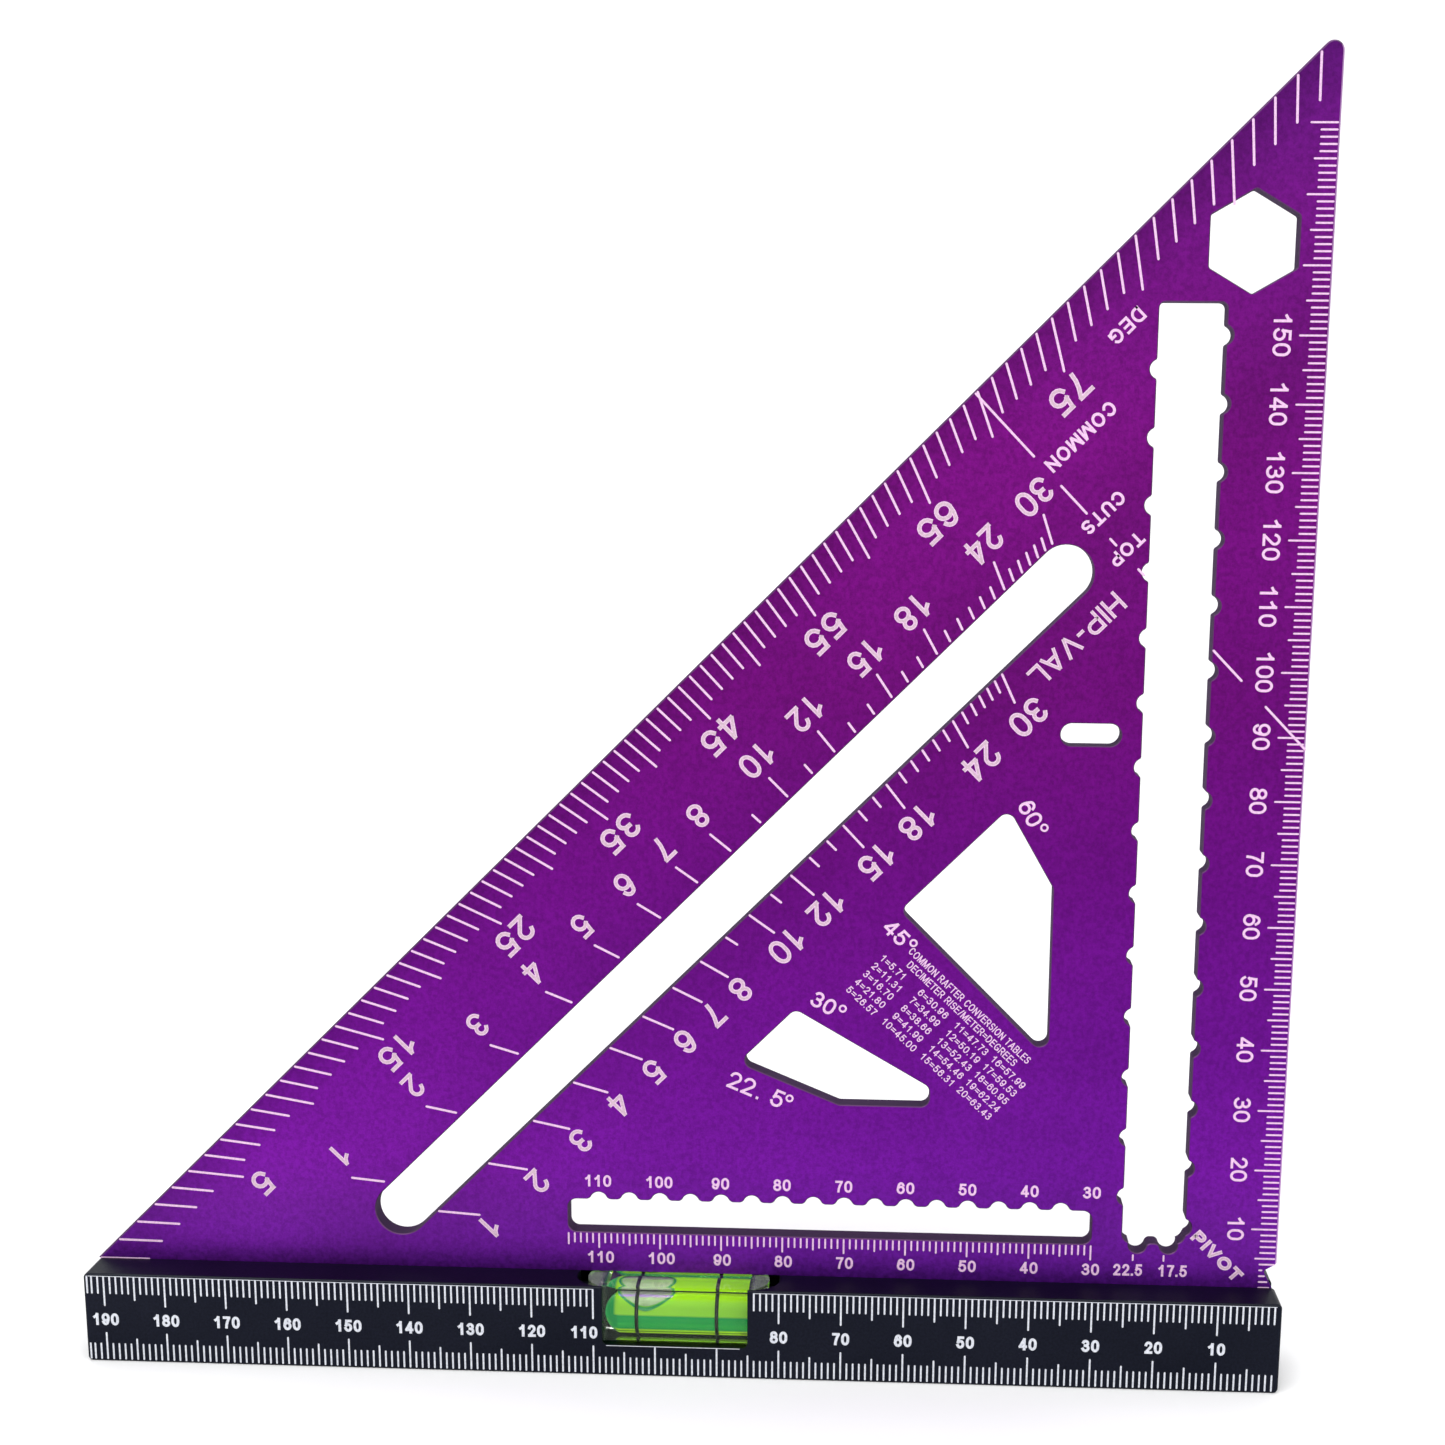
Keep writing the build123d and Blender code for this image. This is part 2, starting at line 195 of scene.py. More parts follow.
# Each sign: its width against a digit's, and its pen strokes in a unit box. A closed stroke ends with None.
SIGNS = {
    "0": (1.0, [OVAL]),
    "1": (1.0, [[(0.64, 0.0), (0.64, 1.0)], [(0.14, 0.72), (0.42, 0.82), (0.6, 0.98)]]),
    "2": (1.0, [arc(0.5, 0.71, 0.46, 0.29, 168, -30) + [(0.5, 0.3), (0.14, 0.06)],
                [(0.06, 0.0), (1.0, 0.0)]]),
    "3": (1.0, [arc(0.48, 0.755, 0.42, 0.245, 155, -75) + [(0.42, 0.53)],
                [(0.42, 0.53)] + arc(0.48, 0.27, 0.5, 0.27, 75, -162)]),
    "4": (1.05, [[(0.74, 0.0), (0.74, 1.0)], [(0.68, 0.96), (0.04, 0.3)], [(0.04, 0.25), (0.98, 0.25)]]),
    "5": (1.0, [[(0.2, 1.0), (0.92, 1.0)], [(0.2, 0.94), (0.11, 0.55)],
                arc(0.48, 0.32, 0.5, 0.32, 140, -162)]),
    "6": (1.0, SIX),
    "7": (0.95, [[(0.04, 1.0), (0.98, 1.0)], [(0.95, 0.94), (0.66, 0.6), (0.48, 0.28), (0.42, 0.0)]]),
    "8": (1.0, [loop(0.5, 0.765, 0.42, 0.235), loop(0.5, 0.265, 0.5, 0.265)]),
    "9": (1.0, turned_over(SIX)),
    "A": (1.3, [[(0.0, 0.0), (0.46, 0.98)], [(0.54, 0.98), (1.0, 0.0)], [(0.24, 0.3), (0.76, 0.3)]]),
    "B": (1.15, [STEM + [(0.5, 1.0)] + arc(0.6, 0.76, 0.33, 0.24, 90, -90, 8) + [(0.06, 0.52)],
                 [(0.06, 0.0), (0.55, 0.0)] + arc(0.62, 0.26, 0.38, 0.26, -90, 90, 8)]),
    "C": (1.25, [arc(0.52, 0.5, 0.52, 0.5, 38, 322, 18)]),
    "D": (1.2, [STEM + [(0.4, 1.0)] + arc(0.42, 0.5, 0.58, 0.5, 80, -80) + [(0.4, 0.0), (0.06, 0.0)]]),
    "E": (1.05, [[(0.96, 1.0), (0.0, 1.0), (0.0, 0.0), (1.0, 0.0)], [(0.06, 0.52), (0.9, 0.52)]]),
    "F": (0.95, [[(0.98, 1.0), (0.0, 1.0), (0.0, 0.0)], [(0.06, 0.48), (0.85, 0.48)]]),
    "G": (1.35, [arc(0.5, 0.5, 0.5, 0.5, 40, 335, 18), [(0.98, 0.1), (0.98, 0.42), (0.6, 0.42)]]),
    "H": (1.15, [STEM, RIGHT_STEM, [(0.06, 0.52), (0.94, 0.52)]]),
    "I": (0.02, [STEM]),
    "L": (0.95, [[(0.0, 1.0), (0.0, 0.0), (1.0, 0.0)]]),
    "M": (1.5, [STEM, RIGHT_STEM, [(0.06, 0.95), (0.48, 0.06)], [(0.52, 0.06), (0.94, 0.95)]]),
    "N": (1.2, [STEM, RIGHT_STEM, [(0.06, 0.93), (0.94, 0.07)]]),
    "O": (1.4, [loop(0.5, 0.5, 0.5, 0.5)]),
    "P": (1.1, [STEM + [(0.55, 1.0)] + arc(0.62, 0.7, 0.38, 0.3, 85, -85, 8) + [(0.55, 0.4), (0.06, 0.4)]]),
    "R": (1.2, [STEM + [(0.5, 1.0)] + arc(0.6, 0.73, 0.34, 0.27, 85, -85, 8) + [(0.5, 0.46), (0.06, 0.46)],
                [(0.6, 0.42), (0.98, 0.03)]]),
    "S": (1.1, [arc(0.5, 0.745, 0.44, 0.255, 30, 245, 12) + arc(0.5, 0.265, 0.5, 0.265, 65, -150, 12)]),
    "T": (1.1, [[(0.0, 1.0), (1.0, 1.0)], [(0.5, 0.94), (0.5, 0.0)]]),
    "U": (1.15, [[(0.0, 1.0)] + arc(0.5, 0.35, 0.5, 0.35, 180, 360) + [(1.0, 1.0)]]),
    "V": (1.2, [[(0.0, 1.0), (0.46, 0.03)], [(0.54, 0.03), (1.0, 1.0)]]),
    "=": (0.95, [[(0.0, 0.3), (1.0, 0.3)], [(0.0, 0.64), (1.0, 0.64)]]),
    "-": (0.4, [[(0.0, 0.38), (1.0, 0.38)]]),
    ".": (0.02, [[(0.0, 0.0), (0.0, 0.01)]]),
    "/": (0.5, [[(0.0, 0.0), (1.0, 1.0)]]),
    " ": (0.3, []),
}


def reach_out(inner, end, distance):
    """The end of a stroke, moved outwards along its last piece."""
    dx, dy = end[0] - inner[0], end[1] - inner[1]
    share = distance / math.hypot(dx, dy)
    return (end[0] + dx * share, end[1] + dy * share)


class Pen:
    """Writes on a Marks sheet along lines at an angle. Angles are in degrees, sizes in mm.

    cap is the height of a digit and stroke the width of its lines. digit and gap are its width and the
    space after it. fill is a second sheet and the share of each stroke's width that it fills."""

    def __init__(self, marks, angle, cap, stroke, digit, gap, fill=None):
        self.marks, self.cap, self.stroke, self.digit, self.gap = marks, cap, stroke, digit, gap
        self.along = (math.cos(math.radians(angle)), math.sin(math.radians(angle)))
        self.fill = fill

    def point(self, s, t):
        ax, ay = self.along
        return (s * ax - t * ay, s * ay + t * ax)

    def widths(self, text, digit):
        return [SIGNS[sign][0] * (digit - self.stroke) + self.stroke for sign in text]

    def total(self, text, digit):
        return sum(self.widths(text, digit)) + self.gap * (len(text) - 1)

    def write(self, text, centre, baseline, width=None):
        """Writes text centred at a place along the line, squeezed to a total width where one is given."""
        digit = self.digit
        if width is not None:
            narrow = self.total(text, self.stroke)
            wide = self.total(text, 2 * self.stroke)
            digit = self.stroke * (1 + (width - narrow) / (wide - narrow))
        start = centre - self.total(text, digit) / 2
        for sign, sign_width in zip(text, self.widths(text, digit)):
            self.draw(sign, start + self.stroke / 2, baseline + self.stroke / 2, sign_width - self.stroke)
            start += sign_width + self.gap

    def ring(self, centre, radius, stroke):
        """A small ring, as in a degree sign."""
        around = loop(*centre, radius, radius)[:-1]
        self.marks.ribbon([self.point(s, t) for s, t in around], stroke, closed=True)

    def draw(self, sign, s, t, width):
        height = self.cap - self.stroke
        for number, stroke in enumerate(SIGNS[sign][1]):
            closed = stroke[-1] is None
            corners = stroke[:-1] if closed else stroke
            points = [self.point(s + x * width, t + y * height) for x, y in corners]
            if not closed:
                points[0] = reach_out(points[1], points[0], self.stroke / 2)
                points[-1] = reach_out(points[-2], points[-1], self.stroke / 2)
            lift = STROKE_LIFT * number
            self.marks.ribbon(points, self.stroke, closed, lift)
            if self.fill:
                sheet, share = self.fill
                sheet.ribbon(points, self.stroke * share, closed, lift + FILL_LIFT)


# ---------------------------------------------------------------- material helpers

def new_material(name):
    material = bpy.data.materials.new(name)
    material.use_nodes = True
    tree = material.node_tree
    return material, tree, tree.nodes["Principled BSDF"]


def node(tree, kind, **values):
    made = tree.nodes.new(kind)
    for key, value in values.items():
        if key in made.inputs:
            made.inputs[key].default_value = value
        else:
            setattr(made, key, value)
    return made


def set_input(tree, socket, value):
    """Links a socket, or sets it to a colour or a number."""
    if isinstance(value, bpy.types.NodeSocket):
        tree.links.new(value, socket)
    elif isinstance(value, tuple):
        socket.default_value = (*value, 1.0)
    else:
        socket.default_value = value


def grey(value):
    return (value, value, value)


def place_along(tree, axis):
    """One of the object's own coordinates, in metres."""
    place = tree.nodes.new("ShaderNodeTexCoord")
    split = tree.nodes.new("ShaderNodeSeparateXYZ")
    tree.links.new(place.outputs["Object"], split.inputs[0])
    return split.outputs[axis]


def facing(tree, axis):
    """How much the surface faces along an axis, either way, from 0 to 1."""
    surface = tree.nodes.new("ShaderNodeNewGeometry")
    split = tree.nodes.new("ShaderNodeSeparateXYZ")
    tree.links.new(surface.outputs["True Normal"], split.inputs[0])
    return math_node(tree, "ABSOLUTE", split.outputs[axis])


def noise(tree, scale, detail=2.0, roughness=0.5):
    """Noise from 0 to 1 over the object's own coordinates."""
    place = tree.nodes.new("ShaderNodeTexCoord")
    made = node(tree, "ShaderNodeTexNoise", Scale=scale, Detail=detail, Roughness=roughness)
    tree.links.new(place.outputs["Object"], made.inputs["Vector"])
    return made.outputs["Fac"]


def math_node(tree, operation, *values):
    made = node(tree, "ShaderNodeMath", operation=operation)
    for socket, value in zip(made.inputs, values):
        set_input(tree, socket, value)
    return made.outputs[0]


def share_between(tree, value, low, high):
    """0 where the value is low, 1 where it is high, and in proportion between them."""
    share = node(tree, "ShaderNodeMapRange")
    tree.links.new(value, share.inputs["Value"])
    share.inputs["From Min"].default_value = low
    share.inputs["From Max"].default_value = high
    return share.outputs["Result"]


def ramp(tree, source, stops):
    """Colours along a value, with stops as (place, (r, g, b))."""
    made = tree.nodes.new("ShaderNodeValToRGB")
    elements = made.color_ramp.elements
    while len(elements) < len(stops):
        elements.new(0.5)
    for element, (place, colour) in zip(elements, stops):
        element.position = place
        element.color = (*colour, 1.0)
    tree.links.new(source, made.inputs["Fac"])
    return made.outputs["Color"]


def grey_ramp(tree, source, stops):
    return ramp(tree, source, [(place, grey(value)) for place, value in stops])


def tones(tree, scale, dark, light, detail=2.0):
    """A colour that wanders between two tones."""
    return ramp(tree, noise(tree, scale, detail), [(0.3, dark), (0.7, light)])


def mix(tree, factor, first, second, blend="MIX"):
    """A colour mix. Each of the three is a socket or a value."""
    made = tree.nodes.new("ShaderNodeMix")
    made.data_type = "RGBA"
    made.blend_type = blend
    for socket, value in (("Factor", factor), ("A", first), ("B", second)):
        set_input(tree, made.inputs[socket], value)
    return made.outputs["Result"]


def times(tree, first, second):
    return mix(tree, 1.0, first, second, "MULTIPLY")


def bump(tree, shader, height, strength, distance):
    made = node(tree, "ShaderNodeBump", Strength=strength, Distance=distance)
    tree.links.new(height, made.inputs["Height"])
    tree.links.new(made.outputs["Normal"], shader.inputs["Normal"])


def grained(tree, colour, scale, low, high):
    """The colour with darker and lighter specks between these shares, and the grain behind them."""
    grain = noise(tree, scale, 3.0, 0.65)
    return times(tree, colour, grey_ramp(tree, grain, [(0.34, low), (0.66, high)])), grain


# ---------------------------------------------------------------- materials

def purple_anodised():
    """Bead-blasted anodised aluminium, with painted light and shade: violet low down, redder above, painted
    shade darkening the walls in the openings.
    """
    material, tree, shader = new_material("purple_anodised")
    height = share_between(tree, place_along(tree, "Z"), bar_high.z, plate_high.z)
    # Painted light and shade: the even anodised colour is set by height, brighter violet low down, darker
    # and redder above
    body = ramp(tree, height, [
        (0.0, (0.115, 0.0110, 0.260)),
        (0.02, (0.128, 0.0108, 0.260)),
        (0.05, (0.125, 0.0103, 0.238)),
        (0.1, (0.145, 0.0077, 0.262)),
        (0.2, (0.121, 0.0049, 0.205)),
        (0.35, (0.112, 0.0034, 0.162)),
        (0.5, (0.119, 0.0033, 0.139)),
        (0.7, (0.138, 0.0041, 0.156)),
        (1.0, (0.088, 0.0060, 0.141)),
    ])
    # From the sloping edge to the pivot corner: a strip inside the edge catches more light
    rise = math_node(tree, "SUBTRACT", place_along(tree, "Z"), place_along(tree, "X"))
    inward = share_between(tree, rise, bar_high.z - plate_low.x, bar_high.z - plate_high.x)
    across = ramp(tree, inward, [
        (0.0, (0.81, 0.81, 0.81)),
        (0.05, (1.13, 1.09, 1.13)),
        (0.12, (1.14, 1.12, 1.14)),
        (0.22, (0.90, 0.97, 0.91)),
        (0.32, (1.03, 1.00, 1.07)),
        (0.45, (0.99, 0.98, 1.05)),
        (0.6, (0.97, 0.98, 1.06)),
        (0.75, (0.91, 0.92, 1.01)),
        (1.0, (0.99, 0.92, 1.05)),
    ])
    patches = tones(tree, 40.0, grey(0.93), grey(1.06), detail=3.0)
    colour = times(tree, times(tree, body, across), patches)
    colour, grain = grained(tree, colour, 1600.0, low=0.82, high=1.2)
    # Walls face sideways and get painted shade. The chamfered rims face between, with a painted highlight
    # on the upright leg's outer edge
    flat = facing(tree, "Y")
    shaded_wall = grey_ramp(tree, flat, [(0.35, 1.0), (0.5, 0.0)])
    colour = mix(tree, shaded_wall, colour, (0.042, 0.014, 0.062))
    rim = math_node(tree, "MULTIPLY", math_node(tree, "LESS_THAN", flat, 0.9),
                    math_node(tree, "GREATER_THAN", flat, 0.5))
    # Painted highlight: pale lilac on the chamfer along the upright leg's outer edge
    outer = math_node(tree, "GREATER_THAN", place_along(tree, "X"), plate_high.x - 0.4 * MM)
    colour = mix(tree, rim, colour, mix(tree, outer, (0.11, 0.045, 0.13), (0.45, 0.25, 0.5)))
    tree.links.new(colour, shader.inputs["Base Color"])
    tree.links.new(mix(tree, shaded_wall, grey(0.96), grey(0.85)), shader.inputs["Metallic"])
    satin = grey_ramp(tree, grain, [(0.2, 0.4), (0.8, 0.56)])
    tree.links.new(mix(tree, shaded_wall, satin, grey(0.8)), shader.inputs["Roughness"])
    bump(tree, shader, grain, strength=0.4, distance=0.00004)
    return material


def black_anodised():
    """Fine satin black, slightly blue, and a little paler on the edges."""
    material, tree, shader = new_material("black_anodised")
    body = tones(tree, 60.0, (0.0062, 0.0076, 0.0148), (0.0092, 0.0108, 0.0196), detail=3.0)
    colour, grain = grained(tree, body, 2400.0, low=0.8, high=1.25)
    flat = math_node(tree, "MAXIMUM", facing(tree, "Z"), facing(tree, "X"))
    flat = math_node(tree, "MAXIMUM", facing(tree, "Y"), flat)
    edge = grey_ramp(tree, flat, [(0.8, 1.0), (0.97, 0.0)])
    tree.links.new(mix(tree, edge, colour, (0.02, 0.022, 0.028)), shader.inputs["Base Color"])
    shader.inputs["Metallic"].default_value = 0.92
    tree.links.new(grey_ramp(tree, grain, [(0.2, 0.42), (0.8, 0.56)]), shader.inputs["Roughness"])
    bump(tree, shader, grain, strength=0.3, distance=0.00003)
    return material


def etched(name, dark, light, roughness):
    """Laser-etched marks, slightly uneven."""
    material, tree, shader = new_material(name)
    grain = noise(tree, 3200.0, 3.0, 0.7)
    tree.links.new(ramp(tree, grain, [(0.3, dark), (0.62, light)]), shader.inputs["Base Color"])
    shader.inputs["Roughness"].default_value = roughness
    bump(tree, shader, grain, strength=0.3, distance=0.00002)
    return material


def clear(name, ior):
    material, tree, shader = new_material(name)
    shader.inputs["Transmission Weight"].default_value = 1.0
    shader.inputs["IOR"].default_value = ior
    shader.inputs["Roughness"].default_value = 0.0
    return material, tree, shader


def bonded_acrylic():
    """The end plug's acrylic. It lies in the block's, so only the slight step between them shows."""
    material, tree, shader = clear("bonded_acrylic", 1.02)
    haze = tones(tree, 900.0, (0.97 * 0.97, 0.97, 0.97 * 0.96), (0.97, 1.0, 0.96))
    tree.links.new(haze, shader.inputs["Base Color"])
    return material


def block_acrylic():
    """Clear acrylic, a little milky in the flange's ends, with faint reflections."""
    material, tree, shader = clear("clear_acrylic", 1.49)
    outward = math_node(tree, "ABSOLUTE", place_along(tree, "X"))
    flange = share_between(tree, outward, plug_end - 0.5 * MM, plug_end + 0.5 * MM)
    milky = math_node(tree, "MULTIPLY", flange, noise(tree, 700.0, 3.0))
    tree.links.new(grey_ramp(tree, milky, [(0.0, 0.99), (0.7, 0.7)]), shader.inputs["Transmission Weight"])
    tree.links.new(mix(tree, flange, (0.95, 1.0, 0.94), (0.50, 0.62, 0.42)), shader.inputs["Base Color"])
    shader.inputs["Specular Tint"].default_value = (0.25, 0.28, 0.25, 1.0)
    return material


# Painted shade of the green liquid, for its shaded band, its domed end and the rim around the bubble
SHADED_EMERALD = (0.02, 0.36, 0.10)
DOME_SAG = 2.4 * MM      # how far the liquid's left end bulges
BUBBLE_RIM = 0.4 * MM    # the liquid that curves up around the bubble, each side


def level_liquid():
    """Dyed liquid with a painted glow, and painted light and shade: lime above, emerald shade below the
    middle, painted bright lines at the foot.
    """
    material, tree, shader = new_material("level_liquid")
    height = share_between(tree, place_along(tree, "Z"), liquid_low.z, liquid_high.z)
    # Painted light and shade: lit lime and yellow above, shaded emerald and dark green below, painted
    # glints as bright lines at the foot
    shade_green, glint_green = (0.01, 0.14, 0.02), (0.50, 0.82, 0.02)
    lit_lime, lit_yellow = (0.38, 0.76, 0.065), (0.46, 0.86, 0.0)
    tint = ramp(tree, height, [
        (0.0, shade_green), (0.05, glint_green), (0.1, glint_green), (0.13, shade_green), (0.17, glint_green), (0.22, SHADED_EMERALD),
        (0.54, SHADED_EMERALD), (0.58, lit_lime), (0.86, lit_lime), (0.92, lit_yellow), (1.0, lit_yellow)])
    # Painted shade: the domed end is painted emerald
    dome = share_between(tree, place_along(tree, "X"), liquid_low.x + 2.0 * MM, liquid_low.x + 1.5 * MM)
    colour = mix(tree, dome, tint, SHADED_EMERALD)
    tree.links.new(colour, shader.inputs["Base Color"])
    shader.inputs["Transmission Weight"].default_value = 0.45
    shader.inputs["IOR"].default_value = 0.92
    shader.inputs["Roughness"].default_value = 0.0
    # Painted glow: the liquid emits its own painted colour, though it is no lamp
    tree.links.new(colour, shader.inputs["Emission Color"])
    shader.inputs["Emission Strength"].default_value = 0.3
    return material


def bubble_air():
    """Air in the liquid, painted pale grey light inside, with a green rim where the liquid curves up around
    it, painted with bright and dark rings.
    """
    material, tree, shader = new_material("air_bubble")
    middle = (bubble_low + bubble_high) / 2
    half = (bubble_high - bubble_low) / 2

    def squared(axis, centre, reach):
        offset = math_node(tree, "SUBTRACT", place_along(tree, axis), centre)
        return math_node(tree, "POWER", math_node(tree, "DIVIDE", offset, reach), 2.0)

    # Seen from above, 0 in the middle and 1 at the edge
    wide = half.y + BUBBLE_RIM
    reach = math_node(tree, "ADD", squared("X", middle.x, half.x), squared("Y", middle.y, wide))
    # Painted light: the clear air is painted pale grey, and the rim gets painted glints and shade in rings
    pale = tones(tree, 600.0, (0.62, 0.60, 0.58), (0.78, 0.77, 0.76))
    rim = ramp(tree, reach, [
        (0.74, SHADED_EMERALD), (0.78, (0.30, 0.70, 0.06)), (0.81, (0.02, 0.34, 0.10)),
        (0.94, SHADED_EMERALD), (0.97, (0.34, 0.74, 0.05))])
    outside = grey_ramp(tree, reach, [(0.72, 0.0), (0.76, 1.0)])
    tree.links.new(mix(tree, outside, pale, rim), shader.inputs["Base Color"])
    seen_through = grey_ramp(tree, outside, [(0.0, 0.45), (1.0, 0.1)])
    tree.links.new(seen_through, shader.inputs["Transmission Weight"])
    shader.inputs["IOR"].default_value = 0.735
    shader.inputs["Roughness"].default_value = 0.0
    return material


def black_steel():
    material, tree, shader = new_material("screw_steel")
    colour = tones(tree, 1500.0, (0.02, 0.02, 0.022), (0.04, 0.04, 0.044))
    tree.links.new(colour, shader.inputs["Base Color"])
    shader.inputs["Metallic"].default_value = 0.9
    shader.inputs["Roughness"].default_value = 0.38
    return material


def ring_ink():
    material, tree, shader = new_material("sighting_ring")
    colour = tones(tree, 1200.0, (0.004, 0.005, 0.004), (0.012, 0.013, 0.012))
    tree.links.new(colour, shader.inputs["Base Color"])
    shader.inputs["Roughness"].default_value = 0.4
    return material


def pale_paper():
    material, tree, shader = new_material("backdrop")
    colour = tones(tree, 3.0, (0.86, 0.86, 0.865), (0.88, 0.88, 0.885))
    tree.links.new(colour, shader.inputs["Base Color"])
    shader.inputs["Roughness"].default_value = 0.9
    return material


purple = purple_anodised()
black = black_anodised()
pink = etched("plate_marking", (0.53, 0.33, 0.51), (0.71, 0.46, 0.68), 0.6)
pink_inner = etched("plate_marking_inner", (0.39, 0.28, 0.34), (0.54, 0.40, 0.48), 0.65)
pale = etched("bar_marking", (0.42, 0.44, 0.5), (0.64, 0.66, 0.71), 0.6)
acrylic = block_acrylic()
bonded = bonded_acrylic()
liquid_green = level_liquid()
air = bubble_air()
steel = black_steel()
ring_black = ring_ink()

finishes = {
    "triangle_plate": purple, "base_bar": black,
    "vial_body": acrylic, "vial_end_plug": bonded, "vial_liquid": liquid_green, "vial_bubble": air,
    "vial_ring_left": ring_black, "vial_ring_right": ring_black,
}
for name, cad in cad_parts.items():
    cad.data.materials.clear()
    cad.data.materials.append(finishes.get(name, steel))


# ---------------------------------------------------------------- scales on the plate

TICK = 0.36
FINE_TICK = 0.28

# A darker line inside the strokes of the big numerals
numeral_fill = Marks("numeral_fill", pivot, "plate_marking")


def slope_point(s, t):
    """The point this far along the slope and this far across it."""
    along = math.radians(SLOPE)
    return (s * math.cos(along) - t * math.sin(along), s * math.sin(along) + t * math.cos(along))


def radial_place(angle, t):
    """How far along the slope the line at this angle to the bar is, at a distance across the slope."""
    return -t * math.tan(math.radians(45 - angle))


def radial(angle, t):
    return slope_point(radial_place(angle, t), t)


def tick_reach(number, short, middle, long):
    if number % 10 == 0:
        return long
    return middle if number % 5 == 0 else short


def degree_scale():
    """Degrees along the sloping edge, numbered at 5, 15 and so on. Plain ticks get shorter upwards."""
    marks = Marks("degree_scale", pivot, "plate_marking")
    edge = slope_edge + 0.25
    numbered_tick, ten_tick, plain_tick, first_tick = 7.1, 6.6, 5.3, 5.9
    for degree in range(90):
        reach = plain_tick - degree / 300 if degree else first_tick
        if degree % 10 == 5:
            reach = numbered_tick
        elif degree % 10 == 0 and degree:
            reach = ten_tick
        marks.bar(radial(degree, edge), radial(degree, edge + reach), TICK)
    pen = Pen(marks, SLOPE, cap=4.1, stroke=0.67, digit=3.0, gap=0.6, fill=(numeral_fill, 0.6))
    nudge = {5: -0.6, 15: 0.3}
    for degree in range(5, 76, 10):
        place = 0.985 * radial_place(degree, slope_edge + numbered_tick) + 0.5
        pen.write(str(degree), place + nudge.get(degree, 0.0), baseline=-128.7)
    pen = Pen(marks, SLOPE, cap=2.25, stroke=0.4, digit=1.7, gap=0.4)
    pen.write("DEG", centre=-85.9, baseline=-129.05, width=6.1)
    return marks


RISES_NAMED = (1, 2, 3, 4, 5, 6, 7, 8, 10, 12, 15, 18, 24, 30)


def common_angle(rise):
    """Degrees of a common rafter with this rise in decimetres per metre."""
    return math.degrees(math.atan(rise / 10))


def hip_angle(rise):
    """Degrees of a hip rafter, which runs along the diagonal of the plan."""
    return math.degrees(math.atan(rise / 10 / math.sqrt(2)))


def rafter_scales():
    """Rise in decimetres per metre on both sides of the diagonal slot, for common and for hip rafters."""
    common = Marks("common_rafter_scale", pivot, "plate_marking")
    hip = Marks("hip_rafter_scale", pivot, "plate_marking")
    # The rows lean a little against the slot, each about a place along it
    common_lean, common_middle = -0.0045, -58
    hip_lean, hip_middle = 0.004, -37
    number_lean, number_middle = -0.0115, -5
    for rise in RISES_NAMED + tuple(rise for rise in range(9, 30) if rise not in RISES_NAMED):
        named = rise in RISES_NAMED
        angle = common_angle(rise)
        first = slot_upper - 0.25 + common_lean * (radial_place(angle, slot_upper) - common_middle)
        last = first - (4.35 if named else 2.0)
        common.bar(radial(angle, first), radial(angle, last), TICK)
        angle = hip_angle(rise)
        lean = hip_lean * (radial_place(angle, slot_lower) - hip_middle)
        last = slot_lower + (4.9 if named else 2.2) + lean
        hip.bar(radial(angle, slot_lower + 0.1), radial(angle, last), TICK)
    common_pen = Pen(common, SLOPE, cap=4.0, stroke=0.63, digit=2.65, gap=0.4, fill=(numeral_fill, 0.55))
    hip_pen = Pen(hip, SLOPE, cap=4.1, stroke=0.65, digit=2.75, gap=0.4, fill=(numeral_fill, 0.55))
    for rise in RISES_NAMED:
        place = radial_place(common_angle(rise), slot_upper - 4.6)
        nudge = -1.0 if rise == 1 else -0.7
        common_pen.write(str(rise), place + nudge, baseline=-121.9 + number_lean * (place - number_middle))
        hip_pen.write(str(rise), radial_place(hip_angle(rise), slot_lower + 5), baseline=-97.6)
    rafter_words(common, hip)
    return common, hip


def rafter_words(common, hip):
    """Headings of both scales, and the dashed line that crosses them."""
    pen = Pen(common, SLOPE, cap=2.2, stroke=0.42, digit=1.8, gap=0.35)
    pen.write("COMMON", centre=-70.1, baseline=-122.0, width=13.25)
    pen = Pen(common, SLOPE, cap=2.15, stroke=0.42, digit=1.7, gap=0.35)
    pen.write("CUTS", centre=-64.8, baseline=-111.4, width=7.8)
    pen = Pen(hip, SLOPE, cap=2.1, stroke=0.42, digit=1.7, gap=0.35)
    pen.write("TOP", centre=-63.6, baseline=-104.9, width=6.0)
    pen = Pen(hip, SLOPE, cap=3.3, stroke=0.52, digit=2.4, gap=0.45, fill=(numeral_fill, 0.5))
    pen.write("HIP-VAL", centre=-48.8, baseline=-100.75, width=18.1)
    line_start, lean = -63.25, 0.0125
    for ends in ((slope_edge + 0.2, -123.5), (-117.8, -111.8), (-106.9, -105.2), (-100.6, -99.0),
                 (-83.6, -76.9), (-71.7, -62.3)):
        first, last = [slope_point(line_start + lean * (t - slope_edge), t) for t in ends]
        common.bar(first, last, TICK, LINE_LIFT)


def upright_scale():
    """Millimetres up the upright leg. The first ticks give way to the plate's corner."""
    marks = Marks("upright_millimetre_scale", pivot, "plate_marking")
    marks.bar((-1.0, 0.0), (-2.9, 0.0), FINE_TICK)
    for number in range(1, 181):
        inset = 0.9 + 0.45 * number if number < 4 else 0.3
        marks.bar((-inset, number), (-tick_reach(number, 2.9, 3.65, 4.4), number), FINE_TICK)
    pen = Pen(marks, -90, cap=2.7, stroke=0.4, digit=1.88, gap=0.3)
    for number in range(10, 151, 10):
        pen.write(str(number), centre=-number - 0.1, baseline=-8.2)
    return marks


